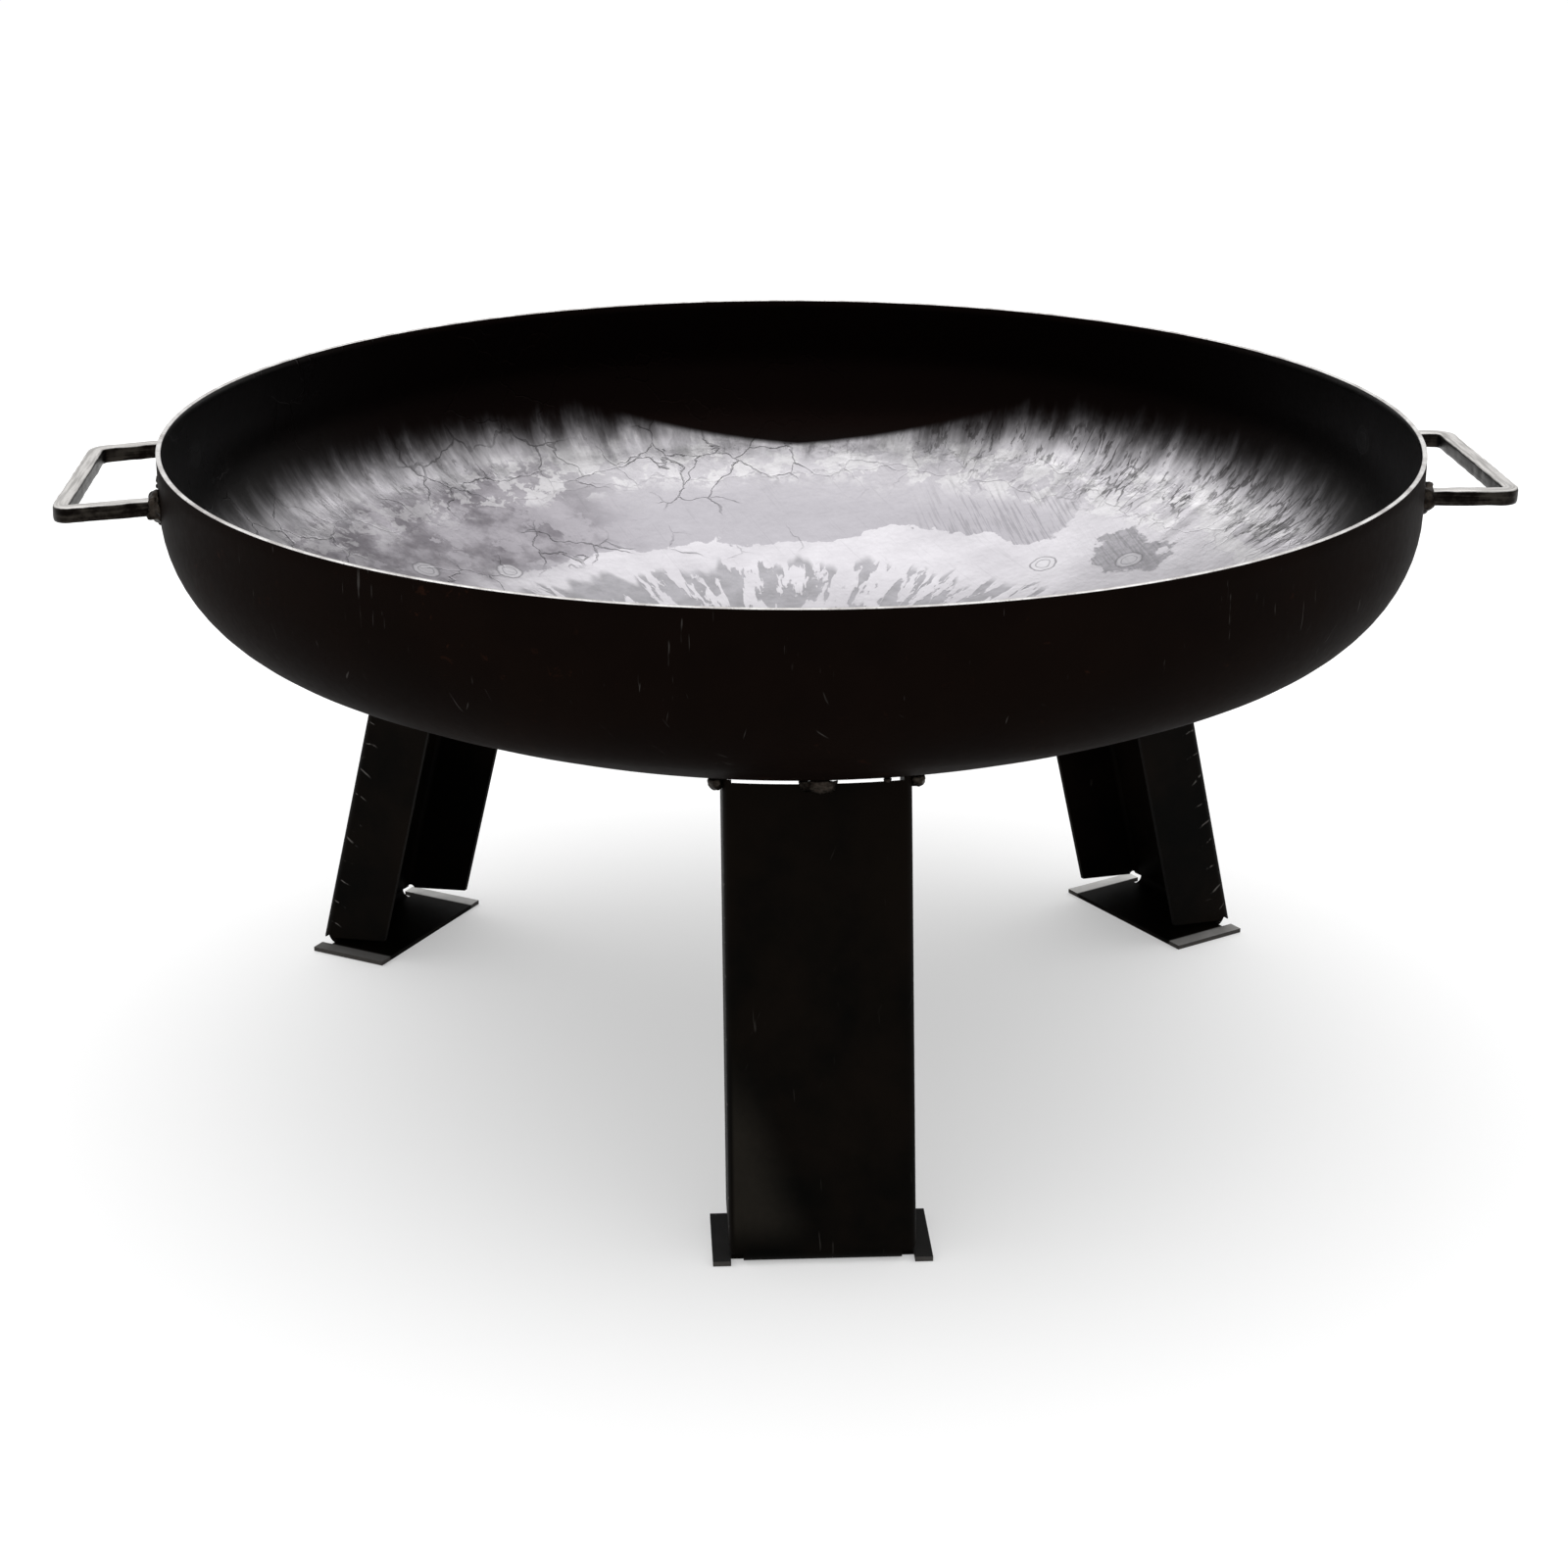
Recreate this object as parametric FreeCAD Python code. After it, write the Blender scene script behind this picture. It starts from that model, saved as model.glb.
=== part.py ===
import FreeCAD, Part
import math
import os

# Open forge hearth: a dished steel fire bowl on three folded sheet legs, with
# two bent-bar carrying handles.  Everything is welded together.
# Millimetres, +Z up.  The origin is on the floor, on the axis of the bowl.
# The front leg stands on -Y, and the handles lie on -X and +X.

# ---- driving dimensions ----
BOWL_DIAMETER = 800.0        # over the outside of the rim
BOWL_WALL = 3.0
RIM_HEIGHT = 412.0           # top of the rim above the floor
STRAIGHT_FLANGE = 35.0       # upright cylinder between the rim and the knuckle
KNUCKLE_RADIUS = 80.0        # outside, one tenth of the diameter
CROWN_RADIUS = 800.0         # outside, equal to the diameter

LEG_ANGLES = {"front": -90.0, "right": 30.0, "left": 150.0}
LEG_SPLAY = 15.0             # degrees from upright, the feet spread outwards
LEG_SHEET = 3.0
LEG_WIDTH = 109.0            # over the two side flanges
LEG_DEPTH = 51.0             # from the face of the web to the edge of a side flange
LEG_FOOT_RADIUS = 353.0      # where the face of the web would meet the floor
SIDE_BEND_RADIUS = 7.0       # outside radius of the two side folds
LEG_TOP_GAP = 1.8            # between the top edge of the web and the bowl

FOOT_INNER_RADIUS = 292.5    # free edge of the foot, measured from the axis
FOOT_EAR_RADIUS = 351.0      # outer edge of the two ears of the foot
FOOT_WIDTH = 128.0           # over the two ears
FOOT_BEND_RADIUS = 8.0       # outside radius of the fold between web and foot
FOOT_BEND_WIDTH = 92.0       # length of that fold, between the two relief holes
RELIEF_HOLE_DIAMETER = 7.0   # at each end of the foot fold
RELIEF_HOLE_HEIGHT = 7.0
FLANGE_FOOT_RISE_OUTER = 6.0   # lower edge of a side flange above the floor, at the web
FLANGE_FOOT_RISE_INNER = 14.0  # the same at the free edge of the flange

BAR = 10.0                   # square bar of the handles
HANDLE_LENGTH = 160.0        # over the outside of the two arms
HANDLE_REACH = 460.0         # outer face of the grip, from the axis
HANDLE_DROP = 33.0           # middle of the bar below the top of the rim
HANDLE_OUTER_RADIUS = 10.0
HANDLE_INNER_RADIUS = 3.0
BAR_EDGE = 0.8               # small chamfer along the arrises of the bar

HANDLE_BEAD_WALL_RADIUS = 9.5
HANDLE_BEAD_BAR_RADIUS = 7.6
HANDLE_BEAD_LENGTH = 6.0

CENTRE_BEAD_RADIUS = 5.5
CENTRE_BEAD_LENGTH = 23.0
CENTRE_BEAD_OUT = 3.0        # middle of the bead outside the face of the web
SIDE_BEAD_RADIUS = 4.5
SIDE_BEAD_LENGTH = 26.0
SIDE_BEAD_OUT = 3.0          # middle of the bead outside the face of the side flange
TACK_RADIUS = 2.4
TACK_ALONG = 40.0            # from the middle of the web towards its right-hand edge

# ---- derived dimensions ----
BOWL_RADIUS = BOWL_DIAMETER / 2.0
SPLAY = math.radians(LEG_SPLAY)
KNUCKLE_CENTRE_R = BOWL_RADIUS - KNUCKLE_RADIUS
KNUCKLE_CENTRE_Z = RIM_HEIGHT - STRAIGHT_FLANGE
CROWN_CENTRE_Z = KNUCKLE_CENTRE_Z + math.sqrt(
    (CROWN_RADIUS - KNUCKLE_RADIUS) ** 2 - KNUCKLE_CENTRE_R ** 2)
TANGENT_ANGLE = math.atan2(KNUCKLE_CENTRE_Z - CROWN_CENTRE_Z, KNUCKLE_CENTRE_R)
HANDLE_Z = RIM_HEIGHT - HANDLE_DROP
ABOVE_RIM = 60.0             # how far the trimming tools reach over the rim


def vec(x, y, z):
    return FreeCAD.Vector(x, y, z)


def on_arc(centre_r, centre_z, radius, angle):
    """A point of the meridian (the X-Z plane) at an angle on a circle."""
    return vec(centre_r + radius * math.cos(angle), 0.0, centre_z + radius * math.sin(angle))


def dish_edges(offset):
    """The meridian of the bowl's outside, moved outwards by offset, from rim to pole."""
    knuckle = KNUCKLE_RADIUS + offset
    crown = CROWN_RADIUS + offset
    rim = vec(BOWL_RADIUS + offset, 0.0, RIM_HEIGHT)
    shoulder = vec(BOWL_RADIUS + offset, 0.0, KNUCKLE_CENTRE_Z)
    knuckle_mid = on_arc(KNUCKLE_CENTRE_R, KNUCKLE_CENTRE_Z, knuckle, TANGENT_ANGLE / 2.0)
    tangent = on_arc(KNUCKLE_CENTRE_R, KNUCKLE_CENTRE_Z, knuckle, TANGENT_ANGLE)
    crown_mid_angle = (TANGENT_ANGLE - math.pi / 2.0) / 2.0
    crown_mid = on_arc(0.0, CROWN_CENTRE_Z, crown, crown_mid_angle)
    pole = vec(0.0, 0.0, CROWN_CENTRE_Z - crown)
    return [
        Part.makeLine(rim, shoulder),
        Part.Arc(shoulder, knuckle_mid, tangent).toShape(),
        Part.Arc(tangent, crown_mid, pole).toShape(),
    ]


def turn_full(edges):
    face = Part.Face(Part.Wire(edges))
    return face.revolve(vec(0, 0, 0), vec(0, 0, 1), 360.0)


def dish_body(offset):
    """The bowl's outer form as a full solid, offset outwards, closed above the rim."""
    edges = dish_edges(offset)
    rim = edges[0].Vertexes[0].Point
    pole = edges[-1].Vertexes[-1].Point
    top_out = vec(rim.x, 0.0, RIM_HEIGHT + ABOVE_RIM)
    top_axis = vec(0.0, 0.0, RIM_HEIGHT + ABOVE_RIM)
    edges.append(Part.makeLine(pole, top_axis))
    edges.append(Part.makeLine(top_axis, top_out))
    edges.append(Part.makeLine(top_out, rim))
    return turn_full(Part.sortEdges(edges)[0])


def make_bowl():
    """The pressed dish: straight flange, knuckle and crown, of one thickness."""
    outer = dish_edges(0.0)
    inner = dish_edges(-BOWL_WALL)
    outer_rim = outer[0].Vertexes[0].Point
    inner_rim = inner[0].Vertexes[0].Point
    outer_pole = outer[-1].Vertexes[-1].Point
    inner_pole = inner[-1].Vertexes[-1].Point
    edges = outer + inner
    edges.append(Part.makeLine(outer_rim, inner_rim))
    edges.append(Part.makeLine(outer_pole, inner_pole))
    return turn_full(Part.sortEdges(edges)[0])


# ---- legs ----
# A leg is modelled on +X: X runs outwards, Y along the width, and it is turned
# to its place afterwards.

def web_radius(z):
    """Distance of the outer face of the web from the axis, at height z."""
    return LEG_FOOT_RADIUS - z * math.tan(SPLAY)


def channel_section(depth, width, radius):
    """Outline of a channel in a plane square to the leg: web at x = 0, flanges to -x."""
    half = width / 2.0
    wire = Part.makePolygon([
        vec(-depth, -half, 0), vec(0, -half, 0), vec(0, half, 0), vec(-depth, half, 0),
        vec(-depth, -half, 0)])
    block = Part.Face(wire).extrude(vec(0, 0, 1))
    corners = [e for e in block.Edges if is_upright(e) and abs(e.Vertexes[0].Point.x) < 0.01]
    return block.makeFillet(radius, corners)


def is_upright(edge):
    a = edge.Vertexes[0].Point
    b = edge.Vertexes[-1].Point
    return abs(a.x - b.x) < 0.01 and abs(a.y - b.y) < 0.01


def lowest_face(solid):
    return min(solid.Faces, key=lambda f: f.CenterOfMass.z)


def make_channel():
    """The web and the two side flanges, longer than needed at both ends."""
    outer = lowest_face(channel_section(LEG_DEPTH, LEG_WIDTH, SIDE_BEND_RADIUS))
    inner_width = LEG_WIDTH - 2.0 * LEG_SHEET
    inner = lowest_face(channel_section(LEG_DEPTH, inner_width, SIDE_BEND_RADIUS - LEG_SHEET))
    inner.translate(vec(-LEG_SHEET, 0, 0))
    length = RIM_HEIGHT + 2.0 * ABOVE_RIM
    solid = outer.extrude(vec(0, 0, length)).cut(inner.extrude(vec(0, 0, length)))
    solid.translate(vec(0, 0, -ABOVE_RIM))
    solid.rotate(vec(0, 0, 0), vec(0, 1, 0), -LEG_SPLAY)
    solid.translate(vec(LEG_FOOT_RADIUS, 0, 0))
    return solid


def side_view(points, width):
    """A solid from an outline in the X-Z plane, centred on y = 0."""
    corners = [vec(x, -width / 2.0, z) for x, z in points]
    face = Part.Face(Part.makePolygon(corners + [corners[0]]))
    return face.extrude(vec(0, width, 0))


def below_flanges():
    """What is cut away below the lower edges of the two side flanges."""
    outer_x = LEG_FOOT_RADIUS + SIDE_BEND_RADIUS
    inner_x = web_radius(0) - LEG_DEPTH / math.cos(SPLAY)
    slope = (FLANGE_FOOT_RISE_OUTER - FLANGE_FOOT_RISE_INNER) / (outer_x - inner_x)
    far_x = inner_x - ABOVE_RIM
    far_z = FLANGE_FOOT_RISE_INNER + slope * (far_x - inner_x)
    points = [
        (outer_x + ABOVE_RIM, -2.0 * ABOVE_RIM), (outer_x + ABOVE_RIM, FLANGE_FOOT_RISE_OUTER),
        (outer_x, FLANGE_FOOT_RISE_OUTER), (inner_x, FLANGE_FOOT_RISE_INNER),
        (far_x, far_z), (far_x, -2.0 * ABOVE_RIM)]
    return side_view(points, 2.0 * LEG_WIDTH)


def relief_hole():
    """The round hole at the end of the foot fold, right across the leg."""
    centre_x = web_radius(RELIEF_HOLE_HEIGHT) - SIDE_BEND_RADIUS
    radius = RELIEF_HOLE_DIAMETER / 2.0
    start = vec(centre_x, -LEG_WIDTH, RELIEF_HOLE_HEIGHT)
    return Part.makeCylinder(radius, 2.0 * LEG_WIDTH, start, vec(0, 1, 0))


def fold_outline():
    """Web, fold and foot in side view, as one closed outline of one thickness."""
    along = vec(-math.sin(SPLAY), 0, math.cos(SPLAY))     # up the web
    inwards = vec(-math.cos(SPLAY), 0, -math.sin(SPLAY))  # square to the web, to the inside
    vertex = vec(LEG_FOOT_RADIUS, 0, 0)
    turn = math.pi / 2.0 + SPLAY
    setback = FOOT_BEND_RADIUS * math.tan(turn / 2.0)
    stub = setback + 6.0
    web_tangent = vertex + along * setback
    foot_tangent = vertex + vec(-setback, 0, 0)
    centre = foot_tangent + vec(0, 0, FOOT_BEND_RADIUS)
    middle = (vertex - centre).normalize()
    inner_radius = FOOT_BEND_RADIUS - LEG_SHEET
    outer_arc = Part.Arc(web_tangent, centre + middle * FOOT_BEND_RADIUS, foot_tangent)
    web_inner = web_tangent + inwards * LEG_SHEET
    foot_inner = foot_tangent + vec(0, 0, LEG_SHEET)
    inner_arc = Part.Arc(web_inner, centre + middle * inner_radius, foot_inner)
    top_out = vertex + along * stub
    top_in = top_out + inwards * LEG_SHEET
    end_low = vec(FOOT_INNER_RADIUS, 0, 0)
    end_high = vec(FOOT_INNER_RADIUS, 0, LEG_SHEET)
    edges = [
        Part.makeLine(top_out, web_tangent), outer_arc.toShape(),
        Part.makeLine(foot_tangent, end_low), Part.makeLine(end_low, end_high),
        Part.makeLine(end_high, foot_inner), inner_arc.toShape(),
        Part.makeLine(web_inner, top_in), Part.makeLine(top_in, top_out)]
    return edges, foot_tangent.x, top_in.z


def make_leg_blank():
    """One folded leg with its foot, standing on the floor, not yet cut to the bowl."""
    edges, fold_start, stub_top = fold_outline()
    fold = Part.Face(Part.Wire(Part.sortEdges(edges)[0])).extrude(vec(0, FOOT_BEND_WIDTH, 0))
    fold.translate(vec(0, -FOOT_BEND_WIDTH / 2.0, 0))
    channel = make_channel().cut(below_flanges()).cut(relief_hole())
    fold_zone = Part.makeBox(
        4.0 * ABOVE_RIM, FOOT_BEND_WIDTH, stub_top + 2.0 * ABOVE_RIM,
        vec(LEG_FOOT_RADIUS - 2.0 * ABOVE_RIM, -FOOT_BEND_WIDTH / 2.0, -2.0 * ABOVE_RIM))
    channel = channel.cut(fold_zone)
    bridge = Part.makeBox(
        4.0 * ABOVE_RIM, FOOT_BEND_WIDTH, LEG_WIDTH,
        vec(LEG_FOOT_RADIUS - 2.0 * ABOVE_RIM, -FOOT_BEND_WIDTH / 2.0, -1.0))
    lower_web = make_channel().common(bridge).cut(below_stub(stub_top))
    foot_length = fold_start - FOOT_INNER_RADIUS
    foot = Part.makeBox(
        foot_length, FOOT_WIDTH, LEG_SHEET,
        vec(FOOT_INNER_RADIUS, -FOOT_WIDTH / 2.0, 0))
    leg = channel.fuse([lower_web, fold, foot] + make_ears(fold_start))
    return leg.removeSplitter()


def below_stub(stub_top):
    """Everything lower than the web end of the foot fold."""
    return Part.makeBox(
        4.0 * ABOVE_RIM, 2.0 * LEG_WIDTH, stub_top + ABOVE_RIM - 1.0,
        vec(LEG_FOOT_RADIUS - 2.0 * ABOVE_RIM, -LEG_WIDTH, -ABOVE_RIM))


def make_ears(fold_start):
    """The two ends of the foot that stand out beside the fold."""
    length = FOOT_EAR_RADIUS - fold_start
    inner_edge = LEG_WIDTH / 2.0 - 1.0
    width = FOOT_WIDTH / 2.0 - inner_edge
    right = Part.makeBox(length, width, LEG_SHEET, vec(fold_start, inner_edge, 0))
    left = Part.makeBox(length, width, LEG_SHEET, vec(fold_start, -FOOT_WIDTH / 2.0, 0))
    return [left, right]


def web_gap_zone():
    """The space of the flat of the web, where its top edge stays clear of the bowl."""
    width = LEG_WIDTH - 2.0 * SIDE_BEND_RADIUS + 4.0
    box = Part.makeBox(2.0 * LEG_SHEET, width, RIM_HEIGHT, vec(-1.5 * LEG_SHEET, -width / 2.0, 0))
    box.rotate(vec(0, 0, 0), vec(0, 1, 0), -LEG_SPLAY)
    box.translate(vec(LEG_FOOT_RADIUS, 0, 0))
    return box


def largest_solid(shape):
    return max(shape.Solids, key=lambda s: s.Volume)


def joint_on_bowl(radius_of_plane, across):
    """Height where the bowl's outside passes a distance from the axis and a side offset."""
    distance = math.hypot(radius_of_plane, across)
    return CROWN_CENTRE_Z - math.sqrt(CROWN_RADIUS ** 2 - distance ** 2)


def web_top():
    """Radius and height where the face of the web reaches the bowl."""
    z = RIM_HEIGHT / 2.0
    for _ in range(40):
        z = joint_on_bowl(web_radius(z), 0.0)
    return web_radius(z), z


def capsule(start, end, radius):
    """A round bead with half-ball ends."""
    axis = end - start
    body = Part.makeCylinder(radius, axis.Length, start, axis)
    return body.fuse([Part.makeSphere(radius, start), Part.makeSphere(radius, end)])


def centre_bead():
    """The fat weld in the middle of the web's top edge."""
    r, z = web_top()
    half = CENTRE_BEAD_LENGTH / 2.0 - CENTRE_BEAD_RADIUS
    x = r + CENTRE_BEAD_OUT
    return capsule(vec(x, -half, z), vec(x, half, z), CENTRE_BEAD_RADIUS)


def side_bead(side):
    """The weld along the top of a side flange, on its outer face."""
    across = side * (LEG_WIDTH / 2.0 + SIDE_BEAD_OUT)
    top_r = web_top()[0]
    outer_r = top_r - SIDE_BEND_RADIUS
    inner_r = outer_r - SIDE_BEAD_LENGTH + 2.0 * SIDE_BEAD_RADIUS
    drop = 0.4 * SIDE_BEAD_RADIUS
    start = vec(outer_r, across, joint_on_bowl(outer_r, across) - drop)
    end = vec(inner_r, across, joint_on_bowl(inner_r, across) - drop)
    return capsule(start, end, SIDE_BEAD_RADIUS)


def tack():
    """A small spot of weld across the gap over the web."""
    r, z = web_top()
    height = joint_on_bowl(r, TACK_ALONG)
    return Part.makeSphere(TACK_RADIUS, vec(r, TACK_ALONG, height - LEG_TOP_GAP / 2.0))


# ---- handles ----

def flat_loop(length, reach, radius, inset):
    """The outline of a handle seen from above, as a solid one bar high, on +X."""
    block = Part.makeBox(
        reach - inset, length, BAR,
        vec(inset, -length / 2.0, HANDLE_Z - BAR / 2.0))
    corners = [e for e in block.Edges if is_upright(e) and e.Vertexes[0].Point.x > reach - 0.01]
    return block.makeFillet(radius, corners)


def make_handle(bowl_form):
    """A square bar bent into a U, its two arms butted against the wall of the bowl."""
    start = BOWL_RADIUS - 6.0 * BAR
    outer = flat_loop(HANDLE_LENGTH, HANDLE_REACH, HANDLE_OUTER_RADIUS, start)
    inner = flat_loop(
        HANDLE_LENGTH - 2.0 * BAR, HANDLE_REACH - BAR, HANDLE_INNER_RADIUS, start - BAR)
    loop = outer.cut(inner)
    arrises = [e for e in loop.Edges if not is_upright(e) and e.Vertexes[0].Point.x > start + 1.0
               or not is_upright(e) and e.Vertexes[-1].Point.x > start + 1.0]
    loop = loop.makeChamfer(BAR_EDGE, arrises)
    return largest_solid(loop.cut(bowl_form))


def handle_bead(side, handle, bowl_form):
    """The weld that runs round one arm of a handle, against the bowl."""
    y = side * (HANDLE_LENGTH - BAR) / 2.0
    wall = math.sqrt(BOWL_RADIUS ** 2 - y ** 2)
    sunk = 4.0
    slope = (HANDLE_BEAD_WALL_RADIUS - HANDLE_BEAD_BAR_RADIUS) / HANDLE_BEAD_LENGTH
    cone = Part.makeCone(
        HANDLE_BEAD_WALL_RADIUS + slope * sunk, HANDLE_BEAD_BAR_RADIUS,
        HANDLE_BEAD_LENGTH + sunk, vec(wall - sunk, y, HANDLE_Z), vec(1, 0, 0))
    return largest_solid(cone.cut(bowl_form).cut(handle))


def turned(shape, angle):
    copy = shape.copy()
    copy.rotate(vec(0, 0, 0), vec(0, 0, 1), angle)
    return copy


def build():
    nodes = {}
    bowl_form = dish_body(0.0)
    gap_form = dish_body(LEG_TOP_GAP)
    nodes["fire_bowl"] = make_bowl()

    leg = make_leg_blank().cut(bowl_form)
    leg = largest_solid(leg.cut(gap_form.common(web_gap_zone())))
    beads = {
        "weld_centre": centre_bead(),
        "weld_right": side_bead(1.0),
        "weld_left": side_bead(-1.0),
    }
    beads = {name: largest_solid(b.cut(bowl_form).cut(leg)) for name, b in beads.items()}
    for place, angle in LEG_ANGLES.items():
        nodes["leg_" + place] = turned(leg, angle)
        for name, bead in beads.items():
            nodes["leg_" + place + "_" + name] = turned(bead, angle)
    spot = largest_solid(tack().cut(bowl_form).cut(leg))
    nodes["leg_front_tack"] = turned(spot, LEG_ANGLES["front"])

    handle = make_handle(bowl_form)
    for place, angle in {"right": 0.0, "left": 180.0}.items():
        nodes["handle_" + place] = turned(handle, angle)
        for end, side in {"front": -1.0, "back": 1.0}.items():
            if place == "left":
                side = -side
            bead = handle_bead(side, handle, bowl_form)
            nodes["handle_" + place + "_weld_" + end] = turned(bead, angle)
    return nodes


os.makedirs("parts", exist_ok=True)
for node, shape in build().items():
    if not shape.isValid() or len(shape.Solids) != 1:
        raise RuntimeError(node + " is not one valid solid")
    shape.exportStep("parts/" + node + ".step")
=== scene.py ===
"""Looks of the forge fire bowl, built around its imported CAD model. Metres, Z up, the front leg on -Y."""
import math
import random

import bmesh
import bpy
import numpy as np
from mathutils import Matrix, Vector, noise

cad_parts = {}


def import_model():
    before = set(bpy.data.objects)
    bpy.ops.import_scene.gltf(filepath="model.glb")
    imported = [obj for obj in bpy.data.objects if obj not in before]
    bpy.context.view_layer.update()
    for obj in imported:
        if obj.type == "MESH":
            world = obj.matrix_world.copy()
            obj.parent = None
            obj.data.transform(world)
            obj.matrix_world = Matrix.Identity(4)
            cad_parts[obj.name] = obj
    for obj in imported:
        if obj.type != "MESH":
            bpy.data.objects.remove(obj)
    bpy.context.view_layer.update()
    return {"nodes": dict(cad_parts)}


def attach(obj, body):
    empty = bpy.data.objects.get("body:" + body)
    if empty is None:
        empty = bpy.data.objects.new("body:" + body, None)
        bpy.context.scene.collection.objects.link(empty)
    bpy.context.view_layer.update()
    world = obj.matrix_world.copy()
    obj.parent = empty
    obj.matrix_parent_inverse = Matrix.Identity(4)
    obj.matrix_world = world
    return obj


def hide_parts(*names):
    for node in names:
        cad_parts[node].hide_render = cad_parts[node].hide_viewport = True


MM = 0.001
DEGREES = 180.0 / math.pi

# ---- the dish, as in the CAD source (mm) ----
RIM_HEIGHT = 412.0
WALL = 3.0
BOWL_RADIUS = 400.0
CROWN_RADIUS = 800.0
KNUCKLE_RADIUS = 80.0
STRAIGHT_FLANGE = 35.0
KNUCKLE_CENTRE = (BOWL_RADIUS - KNUCKLE_RADIUS, RIM_HEIGHT - STRAIGHT_FLANGE)
CENTRE_DISTANCE = CROWN_RADIUS - KNUCKLE_RADIUS
CROWN_CENTRE = KNUCKLE_CENTRE[1] + math.sqrt(CENTRE_DISTANCE**2 - KNUCKLE_CENTRE[0] ** 2)
TANGENT_ANGLE = math.asin(KNUCKLE_CENTRE[0] / CENTRE_DISTANCE)
RIM_CHAMFER = 0.35

# ---- the legs, as in the CAD source (metres and degrees) ----
LEG_ANGLES = {"front": -90.0, "right": 30.0, "left": 150.0}
LEG_FOOT_RADIUS, LEG_SPLAY = 0.353, 15.0
FOOT_THICKNESS, LEG_HALF_WIDTH = 0.003, 0.0545
# where the welds sit behind the dish
WELD_RADIUS_CENTRE, WELD_RADIUS_SIDE, WELD_ANGLE_SIDE = 0.284, 0.255, 12.0
HANDLE_WELD_X, HANDLE_WELD_Y, HANDLE_WELD_Z = 0.39, 0.075, 0.379
# painted light and shade on the top of each foot's two ears, how pale each top is painted: the ear nearer to the
# front, then the one behind, which is painted as lit
EAR_PAINTED_LIGHT = {"front": (0.021, 0.021), "right": (0.3, 0.8), "left": (0.13, 0.6)}

# ---- the handles (mm) ----
BAR = 10.0
BEND, BEND_STEPS = 9.0, 8
BAR_SPACING = 2.2               # between rings of points along the bar
BAR_END = 391.0                 # the arms stop inside the thickness of the wall
SECTION_POINTS, SECTION_POWER = 28, 9.0
TWIST, WANDER, UNEVEN = 0.05, 0.4, 0.32
# how each was bent by hand: its side, how far out its grip is in front and behind, and its rise to the wall
HANDLES = {"left": (-1, 454.3, 454.3, 5.0), "right": (1, 450.5, 445.5, 0.5)}
BEAD_LIFT = 0.85                # of that rise, at the beads

# ---- weld beads (mm): how far noise pushes them in broad lumps, and in fine ripples ----
VOXEL = 0.7
HANDLE_LUMP, LEG_LUMP, TACK_LUMP = 2.4, 1.3, 0.5
RIPPLE, TACK_RIPPLE = 0.6, 0.25
SPATTER_DROPS = 26

# ---- the stage ----
FLOOR_HALF, FLOOR_DROP = 30.0, 0.0004
FLOOR_GREY, FLOOR_GLOW = 0.62, 0.36
SOFTBOX_PLACE, SOFTBOX_TARGET = (0.0, 1.3, 3.0), (0.0, 1.3, 0.0)
SOFTBOX_SIZE, SOFTBOX_RADIANCE = (6.0, 4.2), 1.12
CAMERA_PLACE, CAMERA_TURN = (-0.1073, -1.9077, 0.8785), (69.56, -0.08, -3.06)
CAMERA_LENS, CAMERA_SENSOR = 70.0, 36.0

# ---- mesh density ----
SPOKES = 720
INNER_CROWN_RINGS, INNER_KNUCKLE_RINGS, INNER_WALL_RINGS = 44, 24, 6
OUTER_CROWN_RINGS, OUTER_KNUCKLE_RINGS, OUTER_WALL_RINGS = 16, 12, 4
WRINKLES = 420
INSIDE, EDGE, OUTSIDE = 0, 1, 2     # the dish's material slots


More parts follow.
